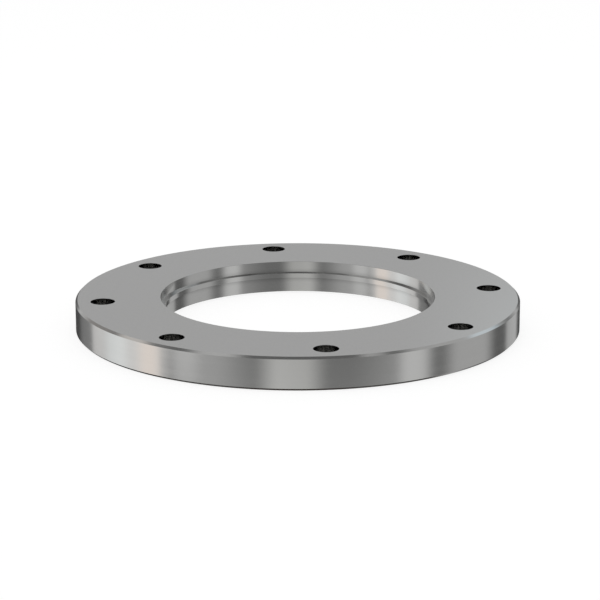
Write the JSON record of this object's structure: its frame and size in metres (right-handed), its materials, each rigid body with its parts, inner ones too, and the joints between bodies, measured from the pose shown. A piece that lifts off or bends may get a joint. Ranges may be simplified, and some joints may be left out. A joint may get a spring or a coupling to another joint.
{
  "type": "vacuum flange",
  "caption": "Flat steel ring flange with a bolt circle and a stepped bore, which centres a seal ring on one side and seats a tube on the other.",
  "frame": {"origin": "centre of the ring's back face, on its axis", "axes": "+Z along the ring's axis towards the sealing side; +X through the centre of one bolt hole"},
  "size_m": [0.165, 0.165, 0.012],
  "materials": {
    "stainless_steel": "satin, finely turned"
  },
  "bodies": {
    "root": {"flange_ring": "stainless_steel"}
  },
  "joints": []
}
